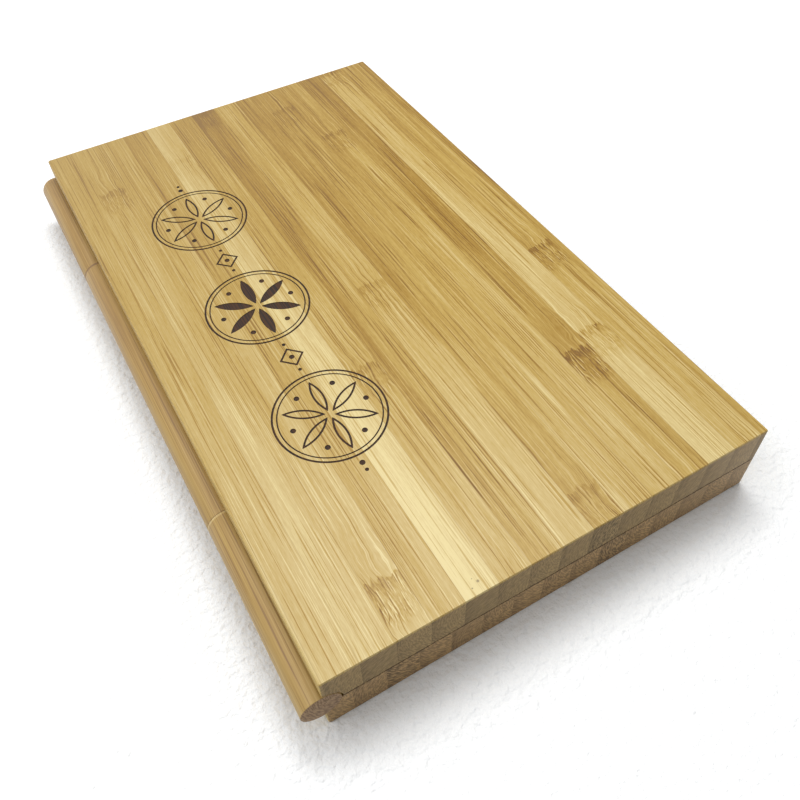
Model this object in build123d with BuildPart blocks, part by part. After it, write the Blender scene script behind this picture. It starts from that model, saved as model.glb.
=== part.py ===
"""Pocket watercolour palette box of laminated bamboo, closed, in millimetres.

Two boards of one outline lie on each other and turn on a wooden dowel hinge along
one long edge. The dowel is cut into three knuckles: the front and rear ones are
glued into the base's cove, the middle one into the lid's, and two hidden steel
pins join them. The base is milled for two rows of half pans with a brush well
between them, the lid for a white mixing tray. Pairs of disc magnets keep it shut.

+X runs from the hinge edge to the free edge, +Y along the hinge from the front end
to the rear end, +Z up. The origin is the centre of the base's underside.
"""

from build123d import *
import os

# Boards
box_length = 170.0
box_width = 100.0
board_thickness = 9.4
seam_gap = 0.16
corner_round = 0.5
lid_arris = 0.2
base_arris = 0.4

# Dowel hinge
dowel_radius = 4.0
axis_overhang = 0.5
end_knuckle = 42.5
knuckle_gap = 0.3
knuckle_chamfer = 0.35
cove_clearance = 0.3
pin_radius = 1.0
pin_length = 36.0
pin_seat_clearance = 0.01
pin_running_clearance = 0.05
pin_end_play = 0.5

# Magnets, which meet when the box is shut
magnet_radius = 3.0
magnet_thickness = 2.0
magnet_seat_clearance = 0.05
magnet_end_margin = 10.0

# Half pans
pan_width = 15.8
pan_length = 19.0
pan_height = 10.0
pan_corner = 2.2
pan_wall = 0.9
pan_floor = 1.0
pan_clearance = 0.3

# Paint cakes
paint_headroom = 1.4
paint_clearance = 0.05

# Milled pockets of the base
hinge_rail = 9.6
free_rail = 11.6
end_rail = 7.3
divider = 3.0
base_pocket_depth = 7.0
brush_well_corner = 4.0
rim_chamfer = 0.3

# Milled pocket of the lid and its mixing tray
lid_pocket_margin = 0.4
lid_pocket_corner = 3.0
pan_top_clearance = 0.85
tray_clearance = 0.2
tray_thickness = 2.9
tray_chamfer = 0.4
tray_rim = 2.6
tray_ridge = 3.2
tray_wells = 3
well_depth = 2.0
well_corner = 5.0
well_draft = 35.0

# Places that follow from the sizes above
hinge_edge = -box_width / 2
free_edge = box_width / 2
front_end = -box_length / 2
rear_end = box_length / 2
lid_underside = board_thickness + seam_gap

axis_x = hinge_edge - axis_overhang
axis_z = board_thickness + seam_gap / 2
running_cove = dowel_radius + cove_clearance
front_joint = front_end + end_knuckle
rear_joint = rear_end - end_knuckle
pin_seat_depth = pin_length / 2 - knuckle_gap / 2
pin_running_depth = pin_seat_depth + pin_end_play

magnet_x = free_edge - free_rail / 2
magnet_y = box_length / 2 - magnet_end_margin
magnet_recess = magnet_thickness - seam_gap / 2

channel_length = box_length - 2 * end_rail
channel_width = pan_width + 2 * pan_clearance
channel_corner = pan_corner + pan_clearance
pocket_hinge_side = hinge_edge + hinge_rail
pocket_free_side = free_edge - free_rail
pocket_middle = (pocket_hinge_side + pocket_free_side) / 2
pocket_width = pocket_free_side - pocket_hinge_side
brush_well_width = pocket_width - 2 * (channel_width + divider)
pocket_floor = board_thickness - base_pocket_depth

pans_per_row = int((channel_length - pan_clearance) / (pan_length + pan_clearance))
pan_gap = (channel_length - pans_per_row * pan_length) / (pans_per_row + 1)
pan_pitch = pan_length + pan_gap
pan_top = pocket_floor + pan_height
row_places = (pocket_hinge_side + channel_width / 2, pocket_free_side - channel_width / 2)

lid_pocket_width = pocket_width + 2 * lid_pocket_margin
lid_pocket_length = channel_length + 2 * lid_pocket_margin
tray_face = pan_top + pan_top_clearance
lid_ceiling = tray_face + tray_thickness
tray_width = lid_pocket_width - 2 * tray_clearance
tray_length = lid_pocket_length - 2 * tray_clearance
tray_corner = lid_pocket_corner - tray_clearance
well_width = tray_width - 2 * tray_rim
well_length = (tray_length - 2 * tray_rim - (tray_wells - 1) * tray_ridge) / tray_wells


def across_hinge(y):
    """The plane across the hinge axis at y, facing the rear end."""
    return Plane(origin=(axis_x, y, axis_z), x_dir=(1, 0, 0), z_dir=(0, 1, 0))


def level(z, x=0.0, y=0.0):
    """A level plane with its origin at a place, facing up."""
    return Plane.XY.offset(z).shift_origin((x, y, z))


def write(piece, name):
    """Labels a finished piece and writes it to its own file."""
    piece.part.label = name
    export_step(piece.part, f"parts/{name}.step")


os.makedirs("parts", exist_ok=True)

# Base board: a plank milled from above, with the hinge cove along one edge
with BuildPart() as base_panel:
    with BuildSketch(level(0)):
        Rectangle(box_width, box_length)
    extrude(amount=board_thickness)
    fillet(base_panel.edges().filter_by(Axis.Z), corner_round)
    chamfer(base_panel.faces().sort_by(Axis.Z)[0].edges(), base_arris)

    # Two channels for the half pans
    with BuildSketch(level(board_thickness)):
        with Locations(*[(row_x, 0) for row_x in row_places]):
            RectangleRounded(channel_width, channel_length, channel_corner)
    extrude(amount=-base_pocket_depth, mode=Mode.SUBTRACT)

    # Brush well between them, and eased rims on all three pockets
    with BuildSketch(level(board_thickness, pocket_middle)):
        RectangleRounded(brush_well_width, channel_length, brush_well_corner)
    extrude(amount=-base_pocket_depth, mode=Mode.SUBTRACT)
    top_face = base_panel.faces().sort_by(Axis.Z)[-1]
    chamfer([edge for rim in top_face.inner_wires() for edge in rim.edges()], rim_chamfer)

    # Blind seats for the magnets
    with BuildSketch(level(board_thickness, magnet_x)):
        with Locations((0, -magnet_y), (0, magnet_y)):
            Circle(magnet_radius + magnet_seat_clearance)
    extrude(amount=-magnet_recess, mode=Mode.SUBTRACT)

    # Cove for the dowel: tight at the ends, free for the middle knuckle
    with BuildSketch(across_hinge(front_end)):
        Circle(dowel_radius)
    extrude(amount=box_length, mode=Mode.SUBTRACT)
    with BuildSketch(across_hinge(front_joint - knuckle_gap / 2)):
        Circle(running_cove)
    extrude(amount=rear_joint - front_joint + knuckle_gap, mode=Mode.SUBTRACT)
write(base_panel, "base_panel")

# Lid board: the same plank, milled from below
with BuildPart() as lid_panel:
    with BuildSketch(level(lid_underside)):
        Rectangle(box_width, box_length)
    extrude(amount=board_thickness)
    fillet(lid_panel.edges().filter_by(Axis.Z), corner_round)
    chamfer(lid_panel.faces().sort_by(Axis.Z)[-1].edges(), lid_arris)

    with BuildSketch(level(lid_underside, pocket_middle)):
        RectangleRounded(lid_pocket_width, lid_pocket_length, lid_pocket_corner)
    extrude(amount=lid_ceiling - lid_underside, mode=Mode.SUBTRACT)
    bottom_face = lid_panel.faces().sort_by(Axis.Z)[0]
    chamfer(bottom_face.inner_wires()[0].edges(), rim_chamfer)

    with BuildSketch(level(lid_underside, magnet_x)):
        with Locations((0, -magnet_y), (0, magnet_y)):
            Circle(magnet_radius + magnet_seat_clearance)
    extrude(amount=magnet_recess, mode=Mode.SUBTRACT)

    # Cove for the dowel: tight in the middle, free for the end knuckles
    with BuildSketch(across_hinge(front_end)):
        Circle(dowel_radius)
    extrude(amount=box_length, mode=Mode.SUBTRACT)
    with BuildSketch(across_hinge(front_end)):
        Circle(running_cove)
    extrude(amount=end_knuckle + knuckle_gap / 2, mode=Mode.SUBTRACT)
    with BuildSketch(across_hinge(rear_end)):
        Circle(running_cove)
    extrude(amount=-end_knuckle - knuckle_gap / 2, mode=Mode.SUBTRACT)
write(lid_panel, "lid_panel")


def knuckle(name, low_y, high_y, front_hole, rear_hole):
    """One length of the dowel, with eased ends. Each hole is a radius and a depth, or None."""
    with BuildPart() as piece:
        with BuildSketch(across_hinge(low_y)):
            Circle(dowel_radius)
        extrude(amount=high_y - low_y)
        rings = piece.edges().filter_by(GeomType.CIRCLE)
        at_joint = rings.filter_by_position(Axis.Y, front_joint - knuckle_gap, rear_joint + knuckle_gap)
        chamfer(at_joint, knuckle_chamfer)
        if front_hole:
            with BuildSketch(across_hinge(low_y)):
                Circle(front_hole[0])
            extrude(amount=front_hole[1], mode=Mode.SUBTRACT)
        if rear_hole:
            with BuildSketch(across_hinge(high_y)):
                Circle(rear_hole[0])
            extrude(amount=-rear_hole[1], mode=Mode.SUBTRACT)
    write(piece, name)


# The dowel's three knuckles: the pins are seated in the outer two and turn in the middle one
pin_seat = (pin_radius + pin_seat_clearance, pin_seat_depth)
pin_bearing = (pin_radius + pin_running_clearance, pin_running_depth)
half_gap = knuckle_gap / 2
knuckle("hinge_knuckle_front", front_end, front_joint - half_gap, None, pin_seat)
knuckle("hinge_knuckle_middle", front_joint + half_gap, rear_joint - half_gap, pin_bearing, pin_bearing)
knuckle("hinge_knuckle_rear", rear_joint + half_gap, rear_end, pin_seat, None)

# Steel pins across the two joints
for name, joint in (("hinge_pin_front", front_joint), ("hinge_pin_rear", rear_joint)):
    with BuildPart() as pin:
        with BuildSketch(across_hinge(joint - pin_length / 2)):
            Circle(pin_radius)
        extrude(amount=pin_length)
    write(pin, name)

# Disc magnets, a pair at each end of the free rail, meeting at the seam
for side, rise in (("base", -magnet_thickness), ("lid", magnet_thickness)):
    for end, y in (("front", -magnet_y), ("rear", magnet_y)):
        with BuildPart() as magnet:
            with BuildSketch(level(axis_z, magnet_x, y)):
                Circle(magnet_radius)
            extrude(amount=rise)
        write(magnet, f"{side}_magnet_{end}")

# Mixing tray, glued under the lid, with its wells facing down when shut
with BuildPart() as mixing_tray:
    with BuildSketch(level(tray_face, pocket_middle)):
        RectangleRounded(tray_width, tray_length, tray_corner)
    extrude(amount=tray_thickness)
    chamfer(mixing_tray.faces().sort_by(Axis.Z)[0].edges(), tray_chamfer)
    with BuildSketch(level(tray_face, pocket_middle)):
        with GridLocations(0, well_length + tray_ridge, 1, tray_wells):
            RectangleRounded(well_width, well_length, well_corner)
    extrude(amount=well_depth, taper=well_draft, mode=Mode.SUBTRACT)
write(mixing_tray, "mixing_tray")


def pan_outline(inset):
    """Draws the pan's outline, drawn in by an inset."""
    RectangleRounded(pan_width - 2 * inset, pan_length - 2 * inset, pan_corner - inset)


# Half pans, plain cups, and the cakes of paint cast in them
paint_height = pan_height - pan_floor - paint_headroom
for row, row_x in enumerate(row_places):
    for place in range(pans_per_row):
        number = row * pans_per_row + place + 1
        pan_y = (place - (pans_per_row - 1) / 2) * pan_pitch

        with BuildPart() as half_pan:
            with BuildSketch(level(pocket_floor, row_x, pan_y)):
                pan_outline(0)
            extrude(amount=pan_height)
            with BuildSketch(level(pan_top, row_x, pan_y)):
                pan_outline(pan_wall)
            extrude(amount=pan_floor - pan_height, mode=Mode.SUBTRACT)
        write(half_pan, f"half_pan_{number:02d}")

        with BuildPart() as paint_cake:
            with BuildSketch(level(pocket_floor + pan_floor, row_x, pan_y)):
                pan_outline(pan_wall + paint_clearance)
            extrude(amount=paint_height)
        write(paint_cake, f"paint_cake_{number:02d}")
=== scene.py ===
import bmesh
import bpy
from math import cos, radians
from mathutils import Matrix, Vector


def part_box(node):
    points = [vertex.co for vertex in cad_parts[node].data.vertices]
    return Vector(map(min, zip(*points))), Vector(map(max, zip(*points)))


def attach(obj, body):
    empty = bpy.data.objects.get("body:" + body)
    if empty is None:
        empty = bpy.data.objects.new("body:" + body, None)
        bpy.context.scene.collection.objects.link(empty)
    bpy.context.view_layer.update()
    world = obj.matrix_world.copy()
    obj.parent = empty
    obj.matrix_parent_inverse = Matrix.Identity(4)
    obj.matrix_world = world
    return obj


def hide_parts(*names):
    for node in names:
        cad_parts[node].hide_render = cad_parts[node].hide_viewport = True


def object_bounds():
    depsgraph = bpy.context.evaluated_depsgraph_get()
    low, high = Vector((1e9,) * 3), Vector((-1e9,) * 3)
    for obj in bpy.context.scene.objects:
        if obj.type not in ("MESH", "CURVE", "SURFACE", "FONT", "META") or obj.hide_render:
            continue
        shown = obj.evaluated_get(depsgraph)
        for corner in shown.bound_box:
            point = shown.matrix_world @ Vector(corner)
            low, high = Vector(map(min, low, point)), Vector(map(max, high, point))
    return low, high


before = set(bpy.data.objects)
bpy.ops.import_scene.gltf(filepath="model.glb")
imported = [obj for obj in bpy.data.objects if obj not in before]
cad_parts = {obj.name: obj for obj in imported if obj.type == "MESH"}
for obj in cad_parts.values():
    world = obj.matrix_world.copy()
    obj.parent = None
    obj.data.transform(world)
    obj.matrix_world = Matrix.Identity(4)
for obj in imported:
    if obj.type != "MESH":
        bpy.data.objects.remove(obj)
cad_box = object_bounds()
mm = 0.001


# The view: a camera held over the near corner of the hinge side, looking down along the box.
# The lens, the place and the slight tilt are those of the photograph.
camera_place = Vector((-58.36, -132.73, 148.78)) * mm
camera_turn = (radians(38.916), radians(1.519), radians(-30.037))
bpy.ops.object.camera_add(location=camera_place, rotation=camera_turn)
camera = bpy.context.object
camera.data.lens = 36.16
camera.data.sensor_width = 36
camera.data.clip_start = 10 * mm
camera.data.dof.use_dof = False
bpy.context.scene.camera = camera
bpy.context.scene.view_settings.view_transform = "Standard"


# The table: a wide sheet of rough white paper that the box lies on, lit softly from above and behind.
# The sheet and the room look plain white, and the sheet keeps the box's shadow.
def shader_node(tree, kind, inputs=None, **options):
    """Adds a shader node, sets its options, and feeds its inputs from values or from other nodes."""
    made = tree.nodes.new("ShaderNode" + kind)
    for option, value in options.items():
        setattr(made, option, value)
    for socket, value in (inputs or {}).items():
        if isinstance(value, bpy.types.NodeSocket):
            tree.links.new(value, made.inputs[socket])
        else:
            made.inputs[socket].default_value = value
    return made


def calc(tree, operation, *values, clamp=False):
    """One step of arithmetic on numbers or sockets."""
    made = shader_node(tree, "Math", dict(enumerate(values)), operation=operation, use_clamp=clamp)
    return made.outputs[0]


def times(tree, first, second):
    """One number or socket times another."""
    return calc(tree, "MULTIPLY", first, second)


def mix(tree, share, first, second, how="MIX"):
    """Lays the second colour over the first by a share."""
    inputs = {0: share, 6: first, 7: second}
    return shader_node(tree, "Mix", inputs, data_type="RGBA", blend_type=how).outputs[2]


def seen_directly(tree):
    """1 where the eye, a reflection or glass looks at the surface, 0 where it only lights others."""
    path = shader_node(tree, "LightPath").outputs
    mirrored = calc(tree, "MAXIMUM", path["Is Glossy Ray"], path["Is Transmission Ray"])
    return calc(tree, "MAXIMUM", path["Is Camera Ray"], mirrored)


def soft_lamp(name, place, width, height, power):
    """An area lamp at a place in millimetres, turned to the middle of the box."""
    bpy.ops.object.light_add(type="AREA", location=Vector(place) * mm)
    lamp = bpy.context.object
    lamp.name = name
    lamp.data.shape = "RECTANGLE"
    lamp.data.size, lamp.data.size_y = width * mm, height * mm
    lamp.data.energy = power
    lamp.rotation_euler = (-lamp.location).to_track_quat("-Z", "Y").to_euler()


room_light = 0.25
room = bpy.data.worlds.new("room")
room.use_nodes = True
bpy.context.scene.world = room
backdrop = room.node_tree.nodes["Background"]
backdrop.inputs["Color"].default_value = (1, 1, 1, 1)
room_seen = seen_directly(room.node_tree)
room_strength = calc(room.node_tree, "MULTIPLY_ADD", room_seen, 1 - room_light, room_light)
room.node_tree.links.new(room_strength, backdrop.inputs["Strength"])

soft_lamp("ceiling_light", (160, 190, 680), 420, 220, 2.8)
soft_lamp("window_light", (-320, 330, 560), 300, 300, 0.8)
soft_lamp("side_light", (-480, 0, 460), 300, 300, 1.0)
soft_lamp("high_light", (0, 0, 720), 300, 300, 0.4)

sheet_size = 6
paper_white, paper_as_seen = (0.88, 0.88, 0.88, 1), (0.85, 0.862, 0.868, 1)
tooth_scale, tooth_depth = 620, 0.9 * mm
contact_reach, contact_falloff = 20 * mm, 2.5
open_lift, far_lift = 0.33, 0.6
far_from, far_to = 0.25, 1.2

bpy.ops.mesh.primitive_plane_add(size=sheet_size)
table = bpy.context.object
table.name = "table_sheet"
sheet_white = bpy.data.materials.new("sheet_white")
sheet_white.use_nodes = True
tree = sheet_white.node_tree
tree.nodes.clear()
on_sheet = shader_node(tree, "TexCoord").outputs["Object"]
tooth = shader_node(tree, "TexNoise", {"Vector": on_sheet, "Scale": tooth_scale, "Detail": 3})
relief = shader_node(tree, "Bump", {"Height": tooth.outputs[0], "Distance": tooth_depth, "Strength": 1.0})
looked_at = seen_directly(tree)
paper = mix(tree, looked_at, paper_white, paper_as_seen)
matt = shader_node(tree, "BsdfDiffuse", {"Color": paper, "Normal": relief.outputs[0]})

# A painted glow, added only where the sheet is looked at, brightens it to plain white away from the box and
# fades close to it, so a painted soft shadow near the box deepens the real one
nearness = shader_node(tree, "AmbientOcclusion", {"Distance": contact_reach}, samples=12)
open_sky = calc(tree, "POWER", nearness.outputs["AO"], contact_falloff)
from_box = shader_node(tree, "VectorMath", {0: on_sheet}, operation="LENGTH").outputs["Value"]
far_inputs = {"Value": from_box, "From Min": far_from, "From Max": far_to}
far_off = shader_node(tree, "MapRange", far_inputs).outputs["Result"]
painted_glow_strength = calc(tree, "MULTIPLY_ADD", open_sky, open_lift, times(tree, far_off, far_lift))
lift_inputs = {"Color": (1, 1, 1, 1), "Strength": times(tree, looked_at, painted_glow_strength)}
painted_glow = shader_node(tree, "Emission", lift_inputs)
both = shader_node(tree, "AddShader", {0: matt.outputs[0], 1: painted_glow.outputs[0]})
shader_node(tree, "OutputMaterial", {"Surface": both.outputs[0]})
table.data.materials.append(sheet_white)


# The lid: a board of bamboo strips glued side by side, planed, sanded and lacquered.
# Each strip stands on edge, so its fibres run the board's length and its end shows as fine dots.
# A ruled ornament of three rosettes is burnt a tenth of a millimetre into its top.
def tint(red, green, blue):
    """A colour given as it looks on a screen, 0 to 255, as the shader reads it."""
    shares = (red / 255, green / 255, blue / 255)
    return tuple(c / 12.92 if c <= 0.04 else ((c + 0.055) / 1.055) ** 2.4 for c in shares) + (1,)


def scaled(colour, share):
    """A colour made darker or paler, all its parts alike."""
    return tuple(part * share for part in colour)


def fade(tree, value, start, end):
    """Goes smoothly from 0 at start to 1 at end."""
    inputs = {"Value": value, "From Min": start, "From Max": end}
    return shader_node(tree, "MapRange", inputs, interpolation_type="SMOOTHSTEP").outputs["Result"]


def ramp(tree, value, stops, steps="LINEAR"):
    """The node of a run of colours along a value from 0 to 1."""
    made = shader_node(tree, "ValToRGB", {"Fac": value})
    made.color_ramp.interpolation = steps
    marks = made.color_ramp.elements
    marks.remove(marks[-1])
    marks[0].position, marks[0].color = stops[0]
    for place, colour in stops[1:]:
        marks.new(place).color = colour
    return made


def drawn_out(tree, place, across, along):
    """The place in units of a size across the fibres and a size along them, in millimetres."""
    units = {0: place, 1: (1 / across, 1 / along, 1 / across)}
    return shader_node(tree, "VectorMath", units, operation="MULTIPLY").outputs[0]


def noise(tree, place, across, along, detail=2, rough=0.5):
    """Cloudy noise drawn out along the fibres."""
    patch = drawn_out(tree, place, across, along)
    inputs = {"Vector": patch, "Scale": 1, "Detail": detail, "Roughness": rough}
    return shader_node(tree, "TexNoise", inputs).outputs[0]


def moved(tree, place, offset):
    """A place moved by an offset."""
    return shader_node(tree, "VectorMath", {0: place, 1: offset}, operation="ADD").outputs[0]


def fibre_dots(tree, place, across):
    """Fibre bundles: dots in the end grain, long threads along the board."""
    inputs = {"Vector": drawn_out(tree, place, across, 90), "Scale": 1, "Randomness": 0.9}
    return fade(tree, shader_node(tree, "TexVoronoi", inputs).outputs["Distance"], 0.48, 0.22)


def ring_strokes(tree, across, up, turn, seed):
    """The short curved strokes of the fibre bundles in an end, round a centre that lies off to one side."""
    centre_away, stroke_width, stroke_length = 13.0, 0.3, 1.5
    side = calc(tree, "SUBTRACT", across, times(tree, calc(tree, "COSINE", turn), centre_away))
    rise = calc(tree, "SUBTRACT", up, times(tree, calc(tree, "SINE", turn), centre_away))
    squares = calc(tree, "ADD", times(tree, side, side), times(tree, rise, rise))
    rings = calc(tree, "DIVIDE", calc(tree, "SQRT", squares), stroke_width)
    round_centre = times(tree, calc(tree, "ARCTAN2", rise, side), centre_away / stroke_length)
    place = shader_node(tree, "CombineXYZ", {0: rings, 1: round_centre, 2: seed}).outputs[0]
    strokes = shader_node(tree, "TexNoise", {"Vector": place, "Scale": 1, "Detail": 1}).outputs[0]
    return fade(tree, strokes, 0.38, 0.62)


def in_millimetres(tree):
    """The place on the object in millimetres, and its parts along X, Y and Z."""
    place = shader_node(tree, "TexCoord").outputs["Object"]
    sized = shader_node(tree, "VectorMath", {0: place, "Scale": 1000}, operation="SCALE").outputs[0]
    return sized, shader_node(tree, "SeparateXYZ", {0: sized}).outputs


def end_grain(tree):
    """1 on the faces that cut across the fibres, 0 elsewhere."""
    facing = shader_node(tree, "TexCoord").outputs["Normal"]
    along = shader_node(tree, "SeparateXYZ", {0: facing}).outputs["Y"]
    return fade(tree, calc(tree, "ABSOLUTE", along), 0.6, 0.8)


def fresh_material(name):
    """A new material and its node tree."""
    material = bpy.data.materials.new(name)
    material.use_nodes = True
    return material, material.node_tree


def finish_shader(tree, **inputs):
    """Feeds the principled shader by name."""
    for socket, value in inputs.items():
        target = tree.nodes["Principled BSDF"].inputs[socket.replace("_", " ")]
        if isinstance(value, bpy.types.NodeSocket):
            tree.links.new(value, target)
        else:
            target.default_value = value


def add_up(tree, tone, parts):
    """Adds to a tone a list of parts, each a value, the middle that it swings about, and its weight."""
    for part, middle, weight in parts:
        tone = calc(tree, "MULTIPLY_ADD", calc(tree, "SUBTRACT", part, middle), weight, tone)
    return tone


def strip_facts(tree, strip, strips):
    """Looks a strip up in the list: its tone, the places of its two culm joints, and their strength."""
    reach = 200
    stops = []
    for number, (tone, joint, other_joint, strength) in enumerate(strips):
        facts = (tone, joint / reach + 0.5, other_joint / reach + 0.5, strength)
        stops.append((number / len(strips), facts))
    middle_of_stop = calc(tree, "MULTIPLY_ADD", strip, 1 / len(strips), 0.5 / len(strips))
    listed = ramp(tree, middle_of_stop, stops, "CONSTANT")
    facts = shader_node(tree, "SeparateColor", {0: listed.outputs["Color"]}).outputs
    joints = [calc(tree, "MULTIPLY_ADD", facts[name], reach, -reach / 2) for name in ("Green", "Blue")]
    return facts["Red"], joints, listed.outputs["Alpha"]


def past_joint(tree, own, y, joints):
    """How many millimetres past the nearer culm joint a place is along Y, with a ragged line."""
    first, second = [calc(tree, "SUBTRACT", y, joint) for joint in joints]
    nearer = calc(tree, "LESS_THAN", calc(tree, "ABSOLUTE", second), calc(tree, "ABSOLUTE", first))
    past = calc(tree, "MULTIPLY_ADD", calc(tree, "SUBTRACT", second, first), nearer, first)
    ragged = noise(tree, own, across=0.9, along=4)
    return calc(tree, "ADD", past, calc(tree, "MULTIPLY_ADD", ragged, 5.0, -2.5))


bamboo_tones = [
    (0.00, tint(120, 81, 14)),
    (0.25, tint(162, 124, 39)),
    (0.50, tint(191, 159, 80)),
    (0.75, tint(209, 184, 121)),
    (1.00, tint(230, 211, 150)),
]
end_shading = [(0.0, tint(216, 214, 212)), (0.3, tint(240, 239, 238)), (1.0, tint(255, 255, 255))]
# The second colour is that of the painted shadow along the seam between the boards.
glue_brown, seam_shadow_brown = tint(120, 84, 36), tint(52, 34, 20)
# The first colour is the grey of the painted sheen on the lid's far hinge corner.
painted_sheen_grey, free_edge_end_tone = tint(173, 149, 103), tint(214, 190, 160)
char_black, char_brown, speck_brown = tint(36, 25, 18), tint(70, 46, 28), tint(86, 62, 30)
half_width, half_length, lid_top = (part / mm for part in cad_box[1])
skin = 0.4
strip_shift = 137.3


def bamboo_board(name, first_seam, strip_width, strips, end_tone, end_contrast, bold_ends, burnt=False):
    """Board material. A strip is its tone, 0 dark to 1 pale, two culm joints' places and their strength."""
    material, tree = fresh_material(name)
    place, (x, y, z) = in_millimetres(tree)

    # Which strip this is, how far across it, and what the list says of it
    across = calc(tree, "MULTIPLY_ADD", x, 1 / strip_width, -first_seam / strip_width)
    strip = calc(tree, "FLOOR", across)
    within = calc(tree, "SUBTRACT", across, strip)
    listed_tone, joints, strength = strip_facts(tree, strip, strips)
    chance = shader_node(tree, "TexWhiteNoise", {"W": strip}, noise_dimensions="1D").outputs["Value"]

    # Each strip has its own length of culm, so its pattern is shifted along
    shift = shader_node(tree, "CombineXYZ", {"Y": times(tree, strip, strip_shift)})
    own = moved(tree, place, shift.outputs[0])

    # Culm joints: the wood darkens towards a ragged line from its far side, and is knotted for a few
    # millimetres on its near side, darkest along the line
    past = past_joint(tree, own, y, joints)
    ragged_line = times(tree, fade(tree, past, 4.4, 3.9), strength)
    knot = times(tree, ragged_line, fade(tree, past, -6.5, -3.5))
    core = times(tree, ragged_line, fade(tree, past, 0.6, 2.8))
    approach = times(tree, times(tree, fade(tree, past, 24, 3), fade(tree, past, -10, -2)), strength)

    # The fibres swing aside at a joint
    sway = calc(tree, "SUBTRACT", noise(tree, own, across=4, along=10), 0.5)
    aside = shader_node(tree, "CombineXYZ", {"X": times(tree, sway, times(tree, approach, 4.0))})
    bent = moved(tree, own, aside.outputs[0])

    # Fibres: broad bands, soft lines, thin pale hairs, clusters of thin brown hairs, threads, fine grain
    bands = noise(tree, bent, across=2.4, along=55)
    lines = noise(tree, bent, across=0.75, along=70, detail=1)
    hairs = noise(tree, bent, across=0.27, along=30, detail=1)
    clusters = noise(tree, bent, across=3.2, along=60, detail=1)
    threads = noise(tree, bent, across=0.17, along=9)
    grain = noise(tree, bent, across=0.2, along=1.6, detail=1)
    dark_hair = fade(tree, calc(tree, "MULTIPLY_ADD", clusters, 0.22, hairs), 0.715, 0.775)
    pale_hair = fade(tree, hairs, 0.395, 0.33)
    dots = fibre_dots(tree, bent, 0.62)

    # Short pale streaks in a knot, straight, each with a dark line along one side
    stroke_width, stroke_length = 0.30, 4.6
    strokes = noise(tree, own, stroke_width, stroke_length, detail=1)
    beside = noise(tree, moved(tree, own, (0.24, 0.3, 0)), stroke_width, stroke_length, detail=1)
    pale_stroke = times(tree, fade(tree, strokes, 0.60, 0.65), knot)
    dark_stroke = times(tree, fade(tree, beside, 0.57, 0.63), knot)
    speckle = calc(tree, "SUBTRACT", noise(tree, own, across=0.4, along=0.9), 0.5)
    mottle = times(tree, speckle, knot)

    # Each strip leans a little from dark to pale across its width, and a painted shade darkens the board
    # towards its far end
    lean = calc(tree, "MULTIPLY_ADD", chance, 0.36, -0.18)
    tone = add_up(tree, listed_tone, (
        (bands, 0.5, 0.36), (lines, 0.5, 0.24), (threads, 0.5, 0.38), (grain, 0.5, 0.26),
        (within, 0.5, lean), (y, 0, -0.0017), (dark_hair, 0, -0.34), (pale_hair, 0, 0.22),
        (approach, 0, -0.09), (knot, 0, -0.09), (core, 0, -0.19),
        (pale_stroke, 0, 0.38), (dark_stroke, 0, -0.24), (mottle, 0, 0.5),
    ))
    wood = ramp(tree, tone, bamboo_tones).outputs["Color"]
    if burnt:
        # A painted sheen makes the lid a little paler and greyer towards its far hinge corner, where the
        # lacquer would show a reflection of the window
        painted_sheen = calc(tree, "MULTIPLY_ADD", y, 0.0022, 0.08)
        painted_sheen = calc(tree, "MULTIPLY_ADD", x, -0.0036, painted_sheen, clamp=True)
        wood = mix(tree, painted_sheen, wood, painted_sheen_grey)

    # Thin glue line between strips
    to_edge = calc(tree, "MINIMUM", within, calc(tree, "SUBTRACT", 1, within))
    glue = fade(tree, times(tree, to_edge, strip_width), 0.10, 0.02)
    wood = mix(tree, times(tree, glue, 0.22), wood, glue_brown)

    # End grain drinks the lacquer and turns dull, with curved strokes and small pits, bolder in some strips
    end = end_grain(tree)
    from_middle = calc(tree, "MULTIPLY_ADD", within, strip_width, -strip_width / 2)
    up = calc(tree, "SUBTRACT", z, hinge_axis_z)
    turn = calc(tree, "MULTIPLY_ADD", chance, 1.6, -0.8)
    rings = ring_strokes(tree, from_middle, up, turn, times(tree, strip, 9))
    contrast = end_contrast
    for number in bold_ends:
        bold = calc(tree, "COMPARE", strip, number, 0.5)
        contrast = calc(tree, "MULTIPLY_ADD", bold, 0.35, contrast)
    end_wood = mix(tree, chance, scaled(end_tone, 0.92), scaled(end_tone, 1.1))
    end_wood = mix(tree, times(tree, rings, contrast), end_wood, scaled(end_tone, 0.32))
    pits = fade(tree, noise(tree, place, across=0.22, along=0.22, detail=1), 0.52, 0.64)
    pits = times(tree, pits, times(tree, contrast, 0.6))
    end_wood = mix(tree, pits, end_wood, scaled(end_tone, 0.45))

    # Ends are darker to one side of each strip, and paler towards the free edge
    towards_free_edge = times(tree, fade(tree, x, 20, half_width), 0.25)
    end_wood = mix(tree, towards_free_edge, end_wood, free_edge_end_tone)
    sides = ramp(tree, within, end_shading).outputs["Color"]
    end_wood = mix(tree, 1, end_wood, sides, "MULTIPLY")
    wood = mix(tree, end, wood, end_wood)

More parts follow.
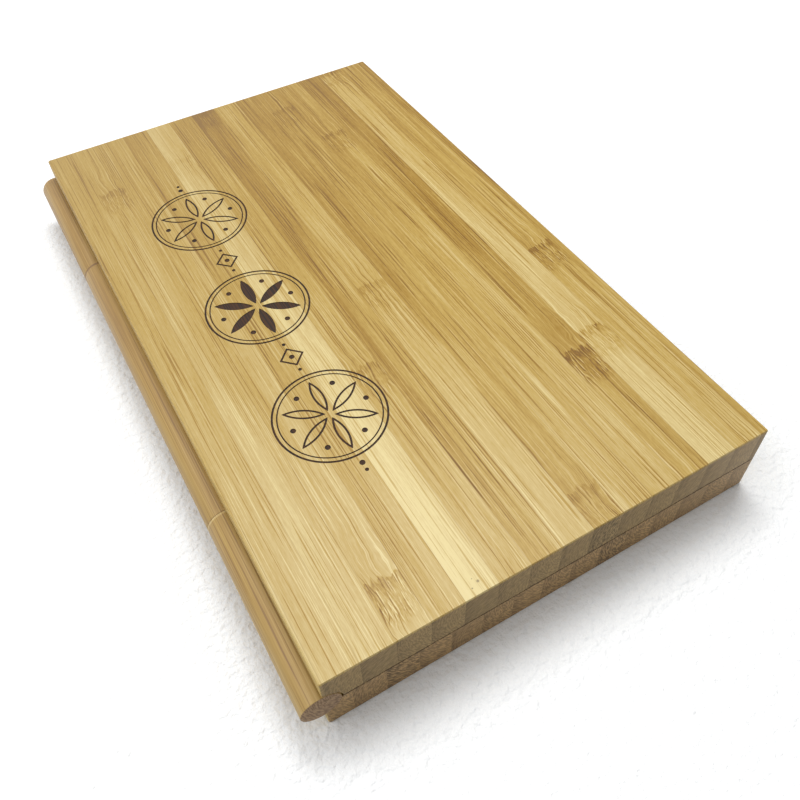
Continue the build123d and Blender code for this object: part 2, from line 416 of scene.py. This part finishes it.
    # Painted shadow: the wood darkens unevenly towards the seam between the boards, all round the outside,
    # where the gap lies in shade
    outside = calc(tree, "GREATER_THAN", calc(tree, "ABSOLUTE", x), half_width - skin)
    at_ends = calc(tree, "GREATER_THAN", calc(tree, "ABSOLUTE", y), half_length - skin)
    outside = calc(tree, "MAXIMUM", outside, at_ends)
    patchy = noise(tree, place, across=0.6, along=0.6, detail=3, rough=0.6)
    uneven = calc(tree, "MULTIPLY_ADD", patchy, 0.9, -0.45)
    from_seam = calc(tree, "ADD", calc(tree, "ABSOLUTE", up), uneven)
    seam_shadow = times(tree, fade(tree, from_seam, 0.34, 0.08), times(tree, outside, 0.8))
    wood = mix(tree, seam_shadow, wood, seam_shadow_brown)

    height = calc(tree, "MULTIPLY_ADD", strokes, times(tree, knot, 0.8), hairs)
    height = calc(tree, "MULTIPLY_ADD", dots, -0.25, height)
    gloss = calc(tree, "MULTIPLY_ADD", hairs, 0.22, calc(tree, "MULTIPLY_ADD", end, 0.25, 0.28))
    if burnt:
        # Below the surface, within the ornament's place, the wood is charred
        under_top = fade(tree, z, lid_top - 0.015, lid_top - 0.03)
        above_tray = fade(tree, z, lid_top - 0.4, lid_top - 0.3)
        from_ornament = calc(tree, "ABSOLUTE", calc(tree, "SUBTRACT", x, ornament_x))
        charred = times(tree, times(tree, under_top, above_tray), calc(tree, "LESS_THAN", from_ornament, 20))
        charred = times(tree, charred, calc(tree, "LESS_THAN", calc(tree, "ABSOLUTE", y), 80))
        char = mix(tree, fade(tree, hairs, 0.40, 0.62), char_black, char_brown)
        wood = mix(tree, charred, wood, char)
        gloss = calc(tree, "MULTIPLY_ADD", charred, 0.35, gloss)

        # A few dark specks where fibres broke out
        for speck_x, speck_y, speck_z, size in lid_specks:
            inputs = {0: place, 1: (speck_x, speck_y, speck_z)}
            away = shader_node(tree, "VectorMath", inputs, operation="DISTANCE").outputs["Value"]
            speck = fade(tree, away, size, size * 0.3)
            wood = mix(tree, times(tree, speck, 0.6), wood, speck_brown)
    bump = shader_node(tree, "Bump", {"Height": height, "Distance": 0.05 * mm, "Strength": 0.6})
    finish_shader(tree, Base_Color=wood, Roughness=gloss, Specular_IOR_Level=0.3, Normal=bump.outputs[0])
    return material


def pick(*pieces):
    """Selects only these pieces and makes the first the one worked on."""
    bpy.ops.object.select_all(action="DESELECT")
    for piece in pieces:
        piece.select_set(True)
    bpy.context.view_layer.objects.active = pieces[0]


def choose(piece, kind, test):
    """In edit mode, selects only the verts, edges or faces that pass a test."""
    bpy.context.tool_settings.mesh_select_mode = (kind == "verts", kind == "edges", kind == "faces")
    shape = bmesh.from_edit_mesh(piece.data)
    for part in (*shape.verts, *shape.edges, *shape.faces):
        part.select = False
    for part in getattr(shape, kind):
        if test(part):
            part.select_set(True)
    shape.select_flush_mode()
    bmesh.update_edit_mesh(piece.data)


def edit(piece):
    """Opens a piece's mesh for editing."""
    pick(piece)
    bpy.ops.object.mode_set(mode="EDIT")


def edit_all(piece):
    """Opens a piece's mesh with all of it selected."""
    edit(piece)
    bpy.ops.mesh.select_all(action="SELECT")


def close_edit():
    """Closes the mesh again."""
    bpy.ops.object.mode_set(mode="OBJECT")


def set_in_place(piece, name):
    """Names a piece, moves its place into its mesh and smooths its round faces."""
    piece.name = piece.data.name = name
    pick(piece)
    bpy.ops.object.transform_apply()
    bpy.ops.object.shade_smooth_by_angle(angle=radians(35))


def cut_away(piece, cutter, fine=False):
    """Takes one shape out of another for good. Fine also minds where the cutter's own lines meet."""
    pick(piece)
    cut = piece.modifiers.new("cut", "BOOLEAN")
    cut.object = cutter
    cut.operation = "DIFFERENCE"
    cut.solver = "EXACT"
    cut.use_self = fine
    bpy.ops.object.modifier_apply(modifier="cut")
    bpy.data.objects.remove(cutter)


def dress(piece, material, body, slot, *nodes):
    """Gives a finished piece its material and its body, and hides the nodes it stands for. The slot is not
    used.
    """
    piece.data.materials.clear()
    piece.data.materials.append(material)
    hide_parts(*nodes)
    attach(piece, body)


def packed_board(name, node):
    """A copy of a packed board with its loose triangles joined into whole faces."""
    board = bpy.data.objects.new(name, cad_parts[node].data.copy())
    bpy.context.scene.collection.objects.link(board)
    edit_all(board)
    bpy.ops.mesh.remove_doubles(threshold=0.002 * mm)
    bpy.ops.mesh.dissolve_limited(angle_limit=radians(0.5))
    bpy.ops.mesh.customdata_custom_splitnormals_clear()
    close_edit()
    return board


hinge_axis_z = 9.48
ornament_x, ornament_y = -23.0, 1.0
burn_depth, cutter_above = 0.12, 0.3
burn_floor = (lid_top - burn_depth) * mm
line_width, thin_line = 0.45, 0.3
rosette_radius, inner_radius = 12.2, 11.1
rosette_step = 37.0
petal_root, petal_length = 0.9, 9.2
berry_radius, small_berry_radius = 0.62, 0.42
berry_out, small_berry_out = 8.4, 4.2
tip_gap, tip_step = 1.8, 1.9
diamond_radius = 2.9


def flat_disc(radius, sides, x=0.0, y=0.0):
    """A flat face with a round or angled outline, at the depth of the burnt lines."""
    bpy.ops.object.select_all(action="DESELECT")
    place = (x * mm, y * mm, burn_floor)
    bpy.ops.mesh.primitive_circle_add(vertices=sides, radius=radius * mm, fill_type="NGON", location=place)
    piece = bpy.context.object
    bpy.ops.object.transform_apply()
    return piece


def hollow(piece, width):
    """Leaves only a line of this width round a face's edge."""
    edit_all(piece)
    bpy.ops.mesh.inset(thickness=width * mm)
    bpy.ops.mesh.delete(type="ONLY_FACE")
    close_edit()
    return piece


def petal(length):
    """A pointed leaf between two arcs that have its length as their radius."""
    arc_centre = length * cos(radians(30))
    piece = flat_disc(length, 120, arc_centre, length / 2)
    edit_all(piece)
    bpy.ops.mesh.bisect(plane_co=(0, 0, 0), plane_no=(1, 0, 0), clear_outer=True)
    bpy.ops.mesh.select_all(action="SELECT")
    bpy.ops.mesh.duplicate()
    bpy.ops.transform.resize(value=(-1, 1, 1), center_override=(0, 0, 0))
    bpy.ops.mesh.select_all(action="SELECT")
    bpy.ops.mesh.remove_doubles(threshold=0.001 * mm)
    bpy.ops.mesh.normals_make_consistent(inside=False)
    bpy.ops.mesh.dissolve_limited(angle_limit=radians(0.1))
    close_edit()
    return piece


def set_out(piece, x, y, turn=0.0, out=0.0):
    """A copy of a flat shape, moved out from the middle of a rosette, turned round it and set at x, y."""
    copy = bpy.data.objects.new("line", piece.data.copy())
    bpy.context.scene.collection.objects.link(copy)
    place = Matrix.Translation((x * mm, y * mm, 0)) @ Matrix.Rotation(radians(turn), 4, "Z")
    copy.data.transform(place @ Matrix.Translation((0, out * mm, 0)))
    return copy


full_petal = petal(petal_length)
line_petal = hollow(set_out(full_petal, 0, 0), line_width)
outer_ring = hollow(flat_disc(rosette_radius, 96), line_width)
inner_ring = hollow(flat_disc(inner_radius, 96), thin_line)
berry = flat_disc(berry_radius, 20)
small_berry = flat_disc(small_berry_radius, 16)
diamond = hollow(flat_disc(diamond_radius, 4), line_width)
burnt_lines = []
for number in (-1, 0, 1):
    middle_y = ornament_y + number * rosette_step
    burnt_lines += [set_out(outer_ring, ornament_x, middle_y), set_out(inner_ring, ornament_x, middle_y)]
    for sixth in range(6):
        leaf = full_petal if number == 0 else line_petal
        burnt_lines.append(set_out(leaf, ornament_x, middle_y, 60 * sixth, petal_root))
        burnt_lines.append(set_out(berry, ornament_x, middle_y, 60 * sixth + 30, berry_out))
for side in (-1, 1):
    between = ornament_y + side * rosette_step / 2
    burnt_lines.append(set_out(diamond, ornament_x, between))
    burnt_lines.append(set_out(berry, ornament_x, between))
    for step in (-small_berry_out, small_berry_out):
        burnt_lines.append(set_out(small_berry, ornament_x, between + step))
    tip = ornament_y + side * (rosette_step + rosette_radius + tip_gap)
    burnt_lines.append(set_out(berry, ornament_x, tip))
    burnt_lines.append(set_out(small_berry, ornament_x, tip + side * tip_step))
pick(*burnt_lines)
bpy.ops.object.join()
ornament = bpy.context.object
edit_all(ornament)
bpy.ops.mesh.extrude_region_move(TRANSFORM_OT_translate={"value": (0, 0, (burn_depth + cutter_above) * mm)})
bpy.ops.mesh.select_all(action="SELECT")
bpy.ops.mesh.normals_make_consistent(inside=False)
close_edit()
for pattern in (full_petal, line_petal, outer_ring, inner_ring, berry, small_berry, diamond):
    bpy.data.objects.remove(pattern)

# The strips from the hinge side on, as the board material takes them. None stands off the board
none = -100
lid_strips = [
    (0.57, none, none, 0), (0.62, 57.5, none, 0.7), (0.58, -77.5, none, 1), (0.46, none, none, 0),
    (0.82, 62, none, 0.3), (0.48, -32, none, 0.6), (0.35, 81, none, 0.6), (0.57, -10, none, 0.5),
    (0.37, -80.6, none, 0.5), (0.45, 69.4, none, 0.4), (0.49, 50.6, none, 0.6), (0.33, -52, none, 1),
    (0.64, -48, 81, 0.8), (0.47, -19.4, none, 0.9), (0.36, none, none, 0),
]
# Dark specks, each its place and its size
lid_specks = [
    (-17.6, -82.6, 18.96, 0.4), (-19.2, -83.3, 18.96, 0.22),
    (-18.3, -81.7, 18.96, 0.15), (-47.0, -85, 12.0, 0.35),
]
lid_board = packed_board("lid_board", "lid_panel")
cut_away(lid_board, ornament, fine=True)
edit_all(lid_board)
bpy.ops.mesh.remove_doubles(threshold=0.004 * mm)
bpy.ops.mesh.dissolve_degenerate(threshold=0.004 * mm)
close_edit()
set_in_place(lid_board, "lid_board")
lid_bamboo = bamboo_board("lid_bamboo", -49.34, 6.95, lid_strips, tint(174, 147, 99), 0.55, (8,), burnt=True)
dress(lid_board, lid_bamboo, "lid", "bamboo_board", "lid_panel")


# The base: the same bamboo board from another batch, browner, milled with two channels and a well.
# Its cove along the hinge side holds the outer two lengths of the dowel.
base_strips = [
    (0.50, none, none, 0), (0.42, none, 12, 0.8), (0.30, 40, none, 0.9), (0.48, none, none, 0),
    (0.52, -20, none, 0.6), (0.40, none, 70, 0.9), (0.46, none, none, 0), (0.44, 33, none, 0.7),
    (0.50, none, none, 0), (0.34, -60, none, 0.9), (0.48, none, none, 0), (0.40, 5, none, 0.6),
    (0.52, none, none, 0), (0.44, none, 62, 0.8), (0.36, none, none, 0), (0.40, none, none, 0),
]
base_board = packed_board("base_board", "base_panel")
set_in_place(base_board, "base_board")
base_bamboo = bamboo_board("base_bamboo", -51.5, 6.85, base_strips, tint(195, 160, 110), 0.74, (2, 9))
dress(base_board, base_bamboo, "base", "bamboo_board", "base_panel")


# The hinge dowel: a bamboo rod turned to 8 mm, cut into three knuckles, their edges eased.
# The outer two are glued into the base's cove and the middle one into the lid's.
def bamboo_dowel(name, near_joint, far_joint):
    """Turned bamboo: streaks along the rod, a pale ring at one joint, a painted shadow in the gap at the
    other, and painted shade towards its far end.
    """
    material, tree = fresh_material(name)
    place, (x, y, z) = in_millimetres(tree)
    bands = noise(tree, place, across=2.2, along=60)
    lines = noise(tree, place, across=0.6, along=70, detail=1)
    hairs = noise(tree, place, across=0.28, along=40, detail=1)
    threads = noise(tree, place, across=0.17, along=9)
    dark_hair, pale_hair = fade(tree, hairs, 0.58, 0.65), fade(tree, hairs, 0.41, 0.34)
    from_near = calc(tree, "ABSOLUTE", calc(tree, "SUBTRACT", y, near_joint - 0.42))
    from_far = calc(tree, "ABSOLUTE", calc(tree, "SUBTRACT", y, far_joint + 0.15))
    # The dark ring at the far joint is a painted shadow in the gap between the knuckles.
    pale_ring, gap_shadow_ring = fade(tree, from_near, 0.34, 0.2), fade(tree, from_far, 0.45, 0.2)
    # The tone falls along Y: painted shade towards the rod's far end.
    tone = add_up(tree, 0.31, (
        (bands, 0.5, 0.5), (lines, 0.5, 0.35), (threads, 0.5, 0.35), (y, 0, -0.001),
        (dark_hair, 0, -0.32), (pale_hair, 0, 0.14), (pale_ring, 0, 0.4), (gap_shadow_ring, 0, -0.5),
    ))
    wood = ramp(tree, tone, bamboo_tones).outputs["Color"]
    wood = mix(tree, 0.35, wood, tint(176, 147, 106))

    # Its ends are dull, with the strokes of the fibre bundles
    end = end_grain(tree)
    out, up = calc(tree, "SUBTRACT", x, hinge_axis_x), calc(tree, "SUBTRACT", z, hinge_axis_z)
    rings = ring_strokes(tree, out, up, turn=0.35, seed=3.0)
    wood = mix(tree, end, wood, mix(tree, rings, tint(166, 136, 100), tint(122, 94, 66)))
    height = calc(tree, "MULTIPLY_ADD", threads, 0.5, hairs)
    bump = shader_node(tree, "Bump", {"Height": height, "Distance": 0.04 * mm, "Strength": 0.6})
    gloss = calc(tree, "MULTIPLY_ADD", hairs, 0.2, calc(tree, "MULTIPLY_ADD", end, 0.25, 0.34))
    finish_shader(tree, Base_Color=wood, Roughness=gloss, Normal=bump.outputs[0])
    return material


def round_blank(radius, depth, sides, middle, turn=(0, 0, 0)):
    """A round blank to be shaped, with its place and turn in its mesh."""
    bpy.ops.object.select_all(action="DESELECT")
    size = {"radius": radius, "depth": depth, "vertices": sides}
    bpy.ops.mesh.primitive_cylinder_add(**size, location=middle, rotation=turn)
    piece = bpy.context.object
    bpy.ops.object.transform_apply()
    return piece


def knuckle(part, body, holes):
    """One length of the dowel. Holes says which of its ends, -1 or 1 along Y, are bored for a pin."""
    node = f"hinge_knuckle_{part}"
    low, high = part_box(node)
    middle = (low + high) / 2
    length = high.y - low.y + len(holes) * joint_closing
    middle.y += sum(holes) * joint_closing / 2
    piece = round_blank(dowel_radius, length, 80, middle, (radians(90), 0, 0))
    edit(piece)
    for end in (-1, 1):
        face_y = middle.y + end * length / 2
        ease = 0.08 * mm if end in holes else 0.12 * mm
        choose(piece, "edges", lambda edge: all(abs(vert.co.y - face_y) < hair for vert in edge.verts))
        bpy.ops.mesh.bevel(offset=ease, segments=3, affect="EDGES")
        if end in holes:
            choose(piece, "faces", lambda face: face.normal.y * end > 0.99)
            bpy.ops.mesh.inset(thickness=dowel_radius - ease - pin_bore)
            inward = (0, -end * pin_bore_depth, 0)
            bpy.ops.mesh.extrude_region_move(TRANSFORM_OT_translate={"value": inward})
    close_edit()
    set_in_place(piece, f"dowel_{part}")
    dress(piece, dowel_bamboo, body, "bamboo_dowel", node)


hair = 0.01 * mm
dowel_radius = 4.0 * mm
pin_bore, pin_bore_depth = 1.05 * mm, 18.4 * mm
joint_closing = 0.13 * mm
hinge_axis_x = -50.5
knuckle_ends = [end.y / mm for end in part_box("hinge_knuckle_middle")]
dowel_bamboo = bamboo_dowel("dowel_bamboo", *knuckle_ends)
knuckle("front", "base", (1,))
knuckle("middle", "lid", (-1, 1))
knuckle("rear", "base", (-1,))


# The hinge pins: drawn steel wire, cut to length and pushed into the outer knuckles.
# Each turns in the end of the middle knuckle and is hidden by the wood.
drawn_steel, tree = fresh_material("drawn_steel")
place, _ = in_millimetres(tree)
scratches = noise(tree, place, across=0.05, along=12)
steel_tone = mix(tree, scratches, (0.42, 0.42, 0.43, 1), (0.62, 0.62, 0.63, 1))
steel_gloss = calc(tree, "MULTIPLY_ADD", scratches, 0.25, 0.2)
finish_shader(tree, Base_Color=steel_tone, Metallic=1.0, Roughness=steel_gloss)
for part in ("front", "rear"):
    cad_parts[f"hinge_pin_{part}"].material_slots[0].material = drawn_steel


# The magnets: nickel-plated discs with eased rims, a pair at each end of the free edge.
# They are pressed flush into blind holes in both boards and keep the box shut.
nickel_plate, tree = fresh_material("nickel_plate")
place, _ = in_millimetres(tree)
clouds = noise(tree, place, across=1.2, along=1.2, detail=4, rough=0.6)
specks = fade(tree, noise(tree, place, across=0.12, along=0.12, detail=1), 0.66, 0.74)
plate_tone = mix(tree, clouds, (0.30, 0.295, 0.28, 1), (0.42, 0.41, 0.395, 1))
plate_tone = mix(tree, times(tree, specks, 0.4), plate_tone, (0.25, 0.24, 0.22, 1))
plate_gloss = calc(tree, "MULTIPLY_ADD", clouds, 0.25, 0.26)
finish_shader(tree, Base_Color=plate_tone, Metallic=1.0, Roughness=plate_gloss)
magnet_radius, magnet_ease = 3 * mm, 0.2 * mm
for side in ("base", "lid"):
    for end in ("front", "rear"):
        node = f"{side}_magnet_{end}"
        low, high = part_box(node)
        disc = round_blank(magnet_radius, high.z - low.z, 64, (low + high) / 2)
        edit(disc)
        choose(disc, "edges", lambda edge: abs(edge.verts[0].co.z - edge.verts[1].co.z) < hair)
        bpy.ops.mesh.bevel(offset=magnet_ease, segments=3, affect="EDGES")
        close_edit()
        set_in_place(disc, f"{side}_disc_{end}")
        dress(disc, nickel_plate, side, "nickel", node)


# The mixing tray: white moulded plastic with three shallow wells whose walls slope out.
# It is glued into the lid's pocket, and lies face up when the box is open.
def rounded_block(low, high, corner, segments=8, draft_low=0.0, draft_high=0.0):
    """A block between two corners with round upright edges, drawn in at its bottom or top by a draft."""
    middle, size = (low + high) / 2, high - low
    bpy.ops.object.select_all(action="DESELECT")
    bpy.ops.mesh.primitive_cube_add(size=1, location=middle)
    block = bpy.context.object
    block.scale = size
    bpy.ops.object.transform_apply()
    edit(block)
    choose(block, "edges", lambda edge: abs(edge.verts[0].co.z - edge.verts[1].co.z) > 0.1 * mm)
    bpy.ops.mesh.bevel(offset=corner, segments=segments, affect="EDGES")
    for way, draft in ((-1, draft_low), (1, draft_high)):
        if draft:
            choose(block, "faces", lambda face: face.normal.z * way > 0.9)
            shrink = (1 - 2 * draft / size.x, 1 - 2 * draft / size.y, 1)
            bpy.ops.transform.resize(value=shrink, center_override=middle)
    close_edit()
    return block


def ease_edges(piece, width, segments):
    """Rounds every sharp edge of a moulded piece."""
    pick(piece)
    ease = piece.modifiers.new("ease", "BEVEL")
    ease.width = width
    ease.segments = segments
    ease.limit_method = "ANGLE"
    ease.angle_limit = radians(25)
    bpy.ops.object.modifier_apply(modifier="ease")


def moulded_white(name, warmth):
    """Glossy white plastic, hardly mottled, with faint scuffs. Also gives its parts, for a stain."""
    material, tree = fresh_material(name)
    place, (_, _, z) = in_millimetres(tree)
    clouds = noise(tree, place, across=9, along=9, detail=3)
    scuffs = fade(tree, noise(tree, place, across=0.35, along=3.5, detail=3), 0.60, 0.72)
    white = mix(tree, clouds, (0.72, 0.72, 0.71, 1), warmth)
    gloss = calc(tree, "MULTIPLY_ADD", scuffs, 0.16, calc(tree, "MULTIPLY_ADD", clouds, 0.1, 0.10))
    bump = shader_node(tree, "Bump", {"Height": clouds, "Distance": 0.05 * mm, "Strength": 0.3})
    finish_shader(tree, Base_Color=white, Roughness=gloss, Normal=bump.outputs[0])
    return material, tree, white, place, z


tray_low, tray_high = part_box("mixing_tray")
tray_size = tray_high - tray_low
tray_corner, tray_ease = 2.8 * mm, 0.45 * mm
tray_rim, tray_ridge = 2.6 * mm, 3.2 * mm
well_depth, well_corner, well_slope = 2.0 * mm, 5.0 * mm, 0.7
well_length = (tray_size.y - 2 * tray_rim - 2 * tray_ridge) / 3
below = 0.5 * mm
spread = below * well_slope
tray = rounded_block(tray_low, tray_high, tray_corner)
for number in (-1, 0, 1):
    middle_y = number * (well_length + tray_ridge)
    near_y, far_y = middle_y - well_length / 2, middle_y + well_length / 2
    well_low = Vector((tray_low.x + tray_rim - spread, near_y - spread, tray_low.z - below))
    well_high = Vector((tray_high.x - tray_rim + spread, far_y + spread, tray_low.z + well_depth))
    draft = (well_depth + below) * well_slope
    cut_away(tray, rounded_block(well_low, well_high, well_corner, 10, draft_high=draft))
ease_edges(tray, tray_ease, 4)
set_in_place(tray, "tray")
tray_plastic = moulded_white("tray_plastic", (0.78, 0.775, 0.755, 1))[0]
dress(tray, tray_plastic, "lid", "tray_white", "mixing_tray")


# The half pans: thin white cups with a draft and a rounded rim, loose in the base's channels.
# Each is stained on its inner walls by its own paint.
stain_from, stain_to = 12.3, 11.2
stain_inset, stain_above = 0.7 * mm, 0.5 * mm
pan_plastic, tree, white, place, z = moulded_white("pan_plastic", (0.78, 0.78, 0.765, 1))
stain = shader_node(tree, "Attribute", attribute_name="stain")
smear = fade(tree, noise(tree, place, across=1.6, along=1.6, detail=4, rough=0.6), 0.50, 0.62)
smear = times(tree, times(tree, smear, stain.outputs["Alpha"]), fade(tree, z, stain_from, stain_to))
finish_shader(tree, Base_Color=mix(tree, times(tree, smear, 0.8), white, stain.outputs["Color"]))

pan_wall, pan_floor, pan_corner = 0.9 * mm, 1.0 * mm, 2.2 * mm
pan_draft, pan_ease = 0.35 * mm, 0.22 * mm
pan_low, pan_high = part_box("half_pan_01")
pan_pattern = rounded_block(pan_low, pan_high, pan_corner, 6, draft_low=pan_draft)
above = Vector((0, 0, 0.4 * mm))
cavity_low = pan_low + Vector((pan_wall, pan_wall, pan_floor))
cavity_high = pan_high - Vector((pan_wall, pan_wall, 0)) + above
cut_away(pan_pattern, rounded_block(cavity_low, cavity_high, pan_corner - pan_wall, 6, draft_low=pan_draft))
ease_edges(pan_pattern, pan_ease, 3)


# The paint: sixteen cakes of watercolour, pigment bound with gum, cast wet in the pans.
# They dry with a raised edge, a hollow and fine cracks.
def dried_paint(name, colour):
    """Dried watercolour: strong colour, part glossy with gum, part dusty, with fine cracks."""
    material, tree = fresh_material(name)
    place, _ = in_millimetres(tree)
    clouds = noise(tree, place, across=2.5, along=2.5, detail=4, rough=0.6)
    grains = noise(tree, place, across=0.15, along=0.15)
    deep = scaled(colour[:3], 0.62) + (1,)
    dusty = tuple(part * 0.92 + 0.05 for part in colour[:3]) + (1,)
    body = mix(tree, fade(tree, clouds, 0.35, 0.65), deep, colour)
    body = mix(tree, times(tree, fade(tree, clouds, 0.55, 0.75), 0.3), body, dusty)
    cells = {"Vector": drawn_out(tree, place, 3.2, 3.2), "Scale": 1}
    crack = shader_node(tree, "TexVoronoi", cells, feature="DISTANCE_TO_EDGE").outputs["Distance"]
    cracked_part = fade(tree, noise(tree, place, across=5, along=5), 0.45, 0.6)
    crack = times(tree, fade(tree, crack, 0.022, 0.004), cracked_part)
    body = mix(tree, times(tree, crack, 0.7), body, scaled(colour[:3], 0.3) + (1,))
    height = calc(tree, "MULTIPLY_ADD", crack, -0.9, calc(tree, "MULTIPLY_ADD", grains, 0.25, clouds))
    bump = shader_node(tree, "Bump", {"Height": height, "Distance": 0.12 * mm, "Strength": 0.7})
    gloss = calc(tree, "MULTIPLY_ADD", fade(tree, clouds, 0.4, 0.6), 0.35, 0.22)
    finish_shader(tree, Base_Color=body, Roughness=gloss, Normal=bump.outputs[0])
    return material


# The paints in the order of their pans, along the hinge side first
paints = [
    ("lemon", tint(248, 226, 40)), ("golden_yellow", tint(246, 180, 20)), ("orange", tint(238, 112, 22)),
    ("scarlet", tint(214, 48, 30)), ("crimson", tint(160, 20, 42)), ("rose", tint(206, 44, 112)),
    ("violet", tint(96, 44, 134)), ("ultramarine", tint(30, 50, 160)), ("sky_blue", tint(30, 128, 196)),
    ("turquoise", tint(14, 140, 146)), ("emerald", tint(18, 132, 82)), ("sap_green", tint(96, 128, 34)),
    ("ochre", tint(206, 158, 66)), ("sienna", tint(160, 82, 38)), ("umber", tint(92, 62, 44)),
    ("grey_black", tint(48, 50, 56)),
]
cake_corner, cake_draft = 1.25 * mm, 0.32 * mm

# The dished top of a cake, ring by ring: its share of the ring outside it, and how far it sinks
cake_steps = ((0.97, 0.0), (0.93, 0.28), (0.86, 0.3), (0.74, 0.22), (0.55, 0.08))
cake_low, cake_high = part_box("paint_cake_01")
cake_middle = (cake_low + cake_high) / 2
cake_pattern = rounded_block(cake_low, cake_high, cake_corner, 6, draft_low=cake_draft)
edit(cake_pattern)
choose(cake_pattern, "faces", lambda face: face.normal.z > 0.9)
for share, drop in cake_steps:
    bpy.ops.mesh.extrude_region_move(TRANSFORM_OT_translate={"value": (0, 0, -drop * mm)})
    bpy.ops.transform.resize(value=(share, share, 1), center_override=cake_middle)
bpy.ops.mesh.poke()
surface_z = cake_high.z - 1.2 * mm
choose(cake_pattern, "faces", lambda face: face.calc_center_median().z > surface_z and face.normal.z > 0.3)
bpy.ops.mesh.subdivide(number_cuts=2)
close_edit()
hollows = bpy.data.textures.new("hollows", "CLOUDS")
hollows.noise_scale = 6 * mm


def copy_to(pattern, name, from_node, to_node):
    """A copy of a modelled pattern with its own mesh, moved from one node's place to another's."""
    piece = bpy.data.objects.new(name, pattern.data.copy())
    bpy.context.scene.collection.objects.link(piece)
    piece.data.transform(Matrix.Translation(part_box(to_node)[0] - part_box(from_node)[0]))
    return piece


for number, (paint, colour) in enumerate(paints, start=1):
    pan_node, cake_node = f"half_pan_{number:02d}", f"paint_cake_{number:02d}"
    pan = copy_to(pan_pattern, "pan", "half_pan_01", pan_node)
    set_in_place(pan, f"pan_{number:02d}")
    low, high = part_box(pan_node)
    stained = pan.data.color_attributes.new("stain", "FLOAT_COLOR", "POINT")
    for vert, mark in zip(pan.data.vertices, stained.data):
        inward = min(vert.co.x - low.x, high.x - vert.co.x, vert.co.y - low.y, high.y - vert.co.y)
        inside = inward > stain_inset and vert.co.z > low.z + stain_above
        mark.color = (*colour[:3], 1 if inside else 0)
    dress(pan, pan_plastic, "base", "pan_white", pan_node)

    cake = copy_to(cake_pattern, "cake", "paint_cake_01", cake_node)
    pick(cake)
    dip = cake.modifiers.new("dip", "DISPLACE")
    dip.texture = hollows
    dip.direction = "Z"
    dip.strength = 0.5 * mm
    dip.mid_level = 0.9
    bpy.ops.object.modifier_apply(modifier="dip")
    set_in_place(cake, f"cake_{number:02d}")
    dress(cake, dried_paint(f"dried_{paint}", colour), "base", f"paint_{paint}", cake_node)
for pattern in (pan_pattern, cake_pattern):
    bpy.data.objects.remove(pattern)
